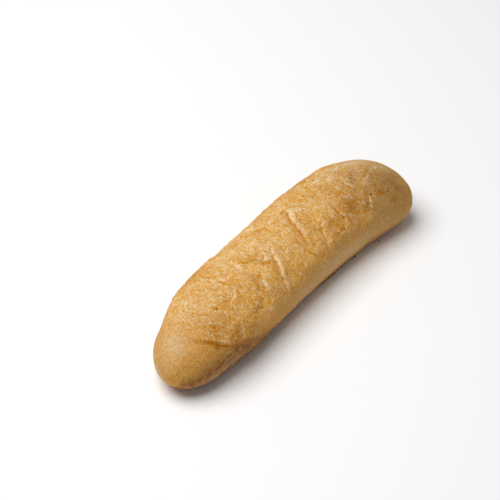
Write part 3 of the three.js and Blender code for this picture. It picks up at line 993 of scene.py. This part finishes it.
def baked_colour(finish, place, stirred, shares):
    """Colour of the crust before it is mottled: golden, deeper gold painted for the shaded flanks, bare,
    darker where shade is painted at the full end, brown and painted shade, and pale dust and painted light.
    """
    toasted_and_shaded = shares["toasted_and_shaded"]
    full_end_shade = shares["full_end_shade"]
    bare = finish.mix(toasted_and_shaded, BARE_CRUST, BARE_TOASTED_AND_SHADED)
    brown_and_shaded = finish.mix(finish.marks(stirred, *SINGED), BROWN_AND_SHADE_COLOUR, DEEP_BROWN_AND_SHADE_COLOUR)
    patches = between(PATCHES_SHOW, full_end_shade) * finish.marks(place, *TONE_PATCHES)
    blotches = BLOTCHES_SHOW * full_end_shade * finish.marks(stirred, *BLOTCHES)

    # Deeper gold on the flanks, painted for the colour of their shade
    colour = finish.mix(toasted_and_shaded, GOLDEN, TOASTED_AND_SHADED_GOLD)
    colour = finish.mix(patches, colour, DEEP_GOLDEN)
    colour = finish.mix(BARE_SHOWS * (1 - shares["paste"]), colour, bare)
    colour = finish.mix(shares["deep"], colour, DEEP_BAKED)
    # Painted shade darkens the full end and its hollows
    colour = finish.mix(END_SHADE_SHOWS * full_end_shade, colour, SHADED_END_CRUST)
    colour = finish.mix(blotches, colour, FULL_END_BLOTCH)
    # Brown of the underside, with painted shade low on the nose
    colour = finish.mix(BROWN_SHOWS * shares["brown_and_shade"], colour, brown_and_shaded)
    # Pale dust, with painted light on shaded places
    return finish.mix(shares["dust_and_light"], colour, DUST_AND_LIGHT_PALE)


def crackled_crust(share_names):
    """Golden crust under pale crackled paste, with amber flecks, bare flanks and a browned underside,
    painted shade in its creases, hollows and pinholes, on its flanks, low on its nose and at its full end,
    and painted light on a few shaded places.
    """
    finish = Finish("crackled_crust")
    place = finish.place()
    shrunk = finish.vectors("MULTIPLY", place, ROUND_THE_LOAF)
    stirred = finish.stirred(shrunk, *MARKS_STIRRED)
    shares = {name: finish.painted(name) for name in share_names}
    paste = shares["paste"]
    amber_and_shade = shares["amber_and_shade"]
    deep = shares["deep"]
    full_end_shade = shares["full_end_shade"]

    edge, plate = finish.plates(stirred, PLATE_SIZE)
    cracks = finish.step(edge, *PLATE_CRACKS, 1.0, 0.0)
    flecks = finish.clouds(shrunk, *FLECKS) - 0.5
    grain = finish.clouds(place, *GRAIN) - 0.5
    blobs = finish.marks(stirred, *BLOBS)
    relief = RELIEF_SHARES["cracks"] * cracks + RELIEF_SHARES["plates"] * (plate - 0.5)
    relief = relief - RELIEF_SHARES["flecks"] * flecks - RELIEF_SHARES["blobs"] * blobs

    thick = shares["pale"] + DABS_SHOW * paste * finish.marks(stirred, *DABS)
    pale = finish.step(thick - FLECKS_BREAK_PALE * flecks, *PALE_LEVELS)
    mottling = between(RELIEF_SHOWS, paste) * relief - between(GRAIN_SHOWS, paste) * grain
    tone = between(PLAIN_TONE, paste) + shares["mottled"] * (1 - PALE_CALMS * pale) * mottling
    tone = tone + PALE_LIGHTENS * pale - AMBER_DARKENS * amber_and_shade - DEEP_DARKENS * deep
    tone = tone - FRECKLES_DARKEN * full_end_shade * finish.marks(place, *FRECKLES)
    specks = finish.step(finish.clouds(place, *SPECKS), *SPECK_LEVELS, -1.0, 1.0)
    specks_show = between(SPECKS_SHOW, paste) + SPECKS_WHERE_DEEP * deep + SPECKS_WHERE_BAKED * full_end_shade

    colour = baked_colour(finish, place, stirred, shares)
    # Amber marks, with the painted shade of creases, grooves and furrows
    colour = finish.mix(AMBER_SHOWS * amber_and_shade, colour, DEEP_BAKED)
    colour = finish.vectors("MULTIPLY", colour, 1 + specks_show * specks)
    colour = finish.vectors("MULTIPLY", colour, finish.mix(tone, AMBER_TINT, CREAM_TINT))
    colour = finish.mix(between(PALE_SHOWS, full_end_shade) * pale, colour, finish.mix(paste, FIBRE, CREAM))
    # The pinholes, painted dark with their shade
    colour = finish.mix(PINHOLES_SHOW * shares["pinhole"], colour, HOLE_CRUST_AND_SHADE)

    ridges = finish.bump(paste * relief, RIDGE_DEPTH)
    return finish.shade({
        "Base Color": colour,
        "Roughness": between(CRUST_ROUGHNESS, paste),
        "Specular IOR Level": CRUST_SHINE,
        "Normal": finish.bump(grain, PIT_DEPTH, ridges),
    })


def crumb_shape():
    """Corners and faces of a round lump, to squeeze and roughen crumbs from."""
    lump = bmesh.new()
    bmesh.ops.create_icosphere(lump, subdivisions=CRUMB_FINENESS, radius=1)
    corners = np.array([corner.co for corner in lump.verts])
    faces = np.array([[corner.index for corner in face.verts] for face in lump.faces])
    lump.free()
    return corners, faces


def roughened(shape, draw):
    """The round lump with a rough surface of its own."""
    drift = draw.uniform(*CRUMB_DRIFTS)
    return shape * (1 + CRUMB_ROUGH[1] * lumps(shape, CRUMB_ROUGH[0], drift)[:, None])


def rim_point(along, side, level):
    """Point of the lower flank at a height over the base."""
    turns = side * np.linspace(*RIM_TURNS, RIM_STEPS)
    ring = smooth_form(np.full(turns.shape, along), turns)
    return ring[np.argmin(abs(ring[:, 2] - level))]


def strew_crumbs(shift):
    """Browned crumbs and one sliver, half sunk in the rim of the base, as one mesh."""
    draw = np.random.default_rng(CRUMB_SEED)
    shape, shape_faces = crumb_shape()
    crumbs = []
    for stretch in RIM_CRUMBS:
        for _ in range(stretch["count"]):
            at = rim_point(draw.uniform(*stretch["alongs"]), stretch["side"], draw.uniform(*CRUMB_LEVEL))
            at = at - (0, stretch["side"] * draw.uniform(*CRUMB_OUT), 0)
            lump = roughened(shape, draw)
            spin = Matrix.Rotation(draw.uniform(0, math.tau), 3, "Z")
            lump = lump * CRUMB_SQUEEZE * draw.uniform(*stretch["size"])
            crumbs.append(lump @ np.array(spin) + at)
    at = rim_point(SLIVER["along"], 1, SLIVER["level"]) - (0, SLIVER["out"], 0)
    lean = Matrix.Rotation(math.radians(SLIVER["lean"]), 3, "X")
    thin = roughened(shape, draw) * (SLIVER["thick"], SLIVER["thick"], SLIVER["length"] / 2)
    crumbs.append(thin @ np.array(lean) + at)

    points = np.concatenate(crumbs) + shift
    points[:, 2] = np.maximum(points[:, 2], 0)
    faces = np.concatenate([shape_faces + i * len(shape) for i in range(len(crumbs))])
    return new_piece("rim_crumbs", points, faces.tolist(), browned_crumb())


def browned_crumb():
    """Dark baked crumb, lighter where it is broken."""
    finish = Finish("browned_crumb")
    place = finish.place()
    colour = finish.mix(finish.marks(place, *CRUMB_BROKEN), CRUMB_DARK, CRUMB_LIGHT)
    return finish.shade({
        "Base Color": colour,
        "Roughness": CRUMB_ROUGHNESS,
        "Specular IOR Level": CRUMB_SHINE,
        "Normal": finish.bump(finish.clouds(place, CRUMB_GRAIN) - 0.5, CRUMB_PITS),
    })


def pale_floor():
    """Large pale floor just under the loaf, its tone faintly clouded."""
    finish = Finish("pale_floor")
    tone = finish.mix(finish.clouds(finish.place(), FLOOR_CLOUDS), *FLOOR_COLOURS)
    finish.shade({"Base Color": tone, "Roughness": FLOOR_ROUGHNESS, "Specular IOR Level": FLOOR_SHINE})
    corner = FLOOR_SIZE / 2
    square = np.array([(-1, -1, 0), (1, -1, 0), (1, 1, 0), (-1, 1, 0)])
    floor = new_piece("pale_floor", corner * square - (0, 0, FLOOR_GAP), [(0, 1, 2, 3)], finish.material)


def direction(azimuth, elevation):
    """Unit vector towards an azimuth, counted from +X towards +Y, and an elevation."""
    level = math.cos(math.radians(elevation))
    flat = math.radians(azimuth)
    return Vector((level * math.cos(flat), level * math.sin(flat), math.sin(math.radians(elevation))))


def soft_light():
    """Even white light from all round, and one large lamp high up on the camera's left."""
    world = bpy.data.worlds.new("soft_studio")
    world.use_nodes = True
    world.node_tree.nodes["Background"].inputs["Color"].default_value = (1, 1, 1, 1)
    world.node_tree.nodes["Background"].inputs["Strength"].default_value = SKY_STRENGTH
    bpy.context.scene.world = world

    lamp = bpy.data.lights.new("key_light", "AREA")
    lamp.shape = "DISK"
    lamp.size = KEY_SIZE * MM
    lamp.energy = KEY_POWER
    key = bpy.data.objects.new("key_light", lamp)
    towards = direction(KEY_AZIMUTH, KEY_ELEVATION)
    key.location = towards * KEY_DISTANCE * MM
    key.rotation_euler = towards.to_track_quat("Z", "Y").to_euler()
    bpy.context.collection.objects.link(key)


def photo_camera():
    """Camera that looks down on the loaf from the front, on its tapered end's side."""
    back = direction(VIEW_AZIMUTH - 90, VIEW_ELEVATION)
    right = Vector((0, 0, 1)).cross(back).normalized()
    up = back.cross(right)
    lens = bpy.data.cameras.new("photo_camera")
    lens.lens = VIEW_LENS
    lens.sensor_width = VIEW_SENSOR
    lens.clip_end = VIEW_END * MM
    camera = bpy.data.objects.new("photo_camera", lens)
    turned = Matrix((right, up, back)).transposed().to_4x4()
    place = back * VIEW_DISTANCE - right * LOAF_RIGHT_OF_CENTRE + up * LOAF_BELOW_CENTRE
    camera.matrix_world = Matrix.Translation(place * MM) @ turned
    bpy.context.collection.objects.link(camera)
    bpy.context.scene.camera = camera


bpy.context.scene.view_settings.view_transform = "Standard"
photo_camera()
soft_light()
pale_floor()

loaf, shift = bake_loaf()
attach(loaf, "root")
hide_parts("loaf")
crumbs = strew_crumbs(shift)
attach(crumbs, "root")
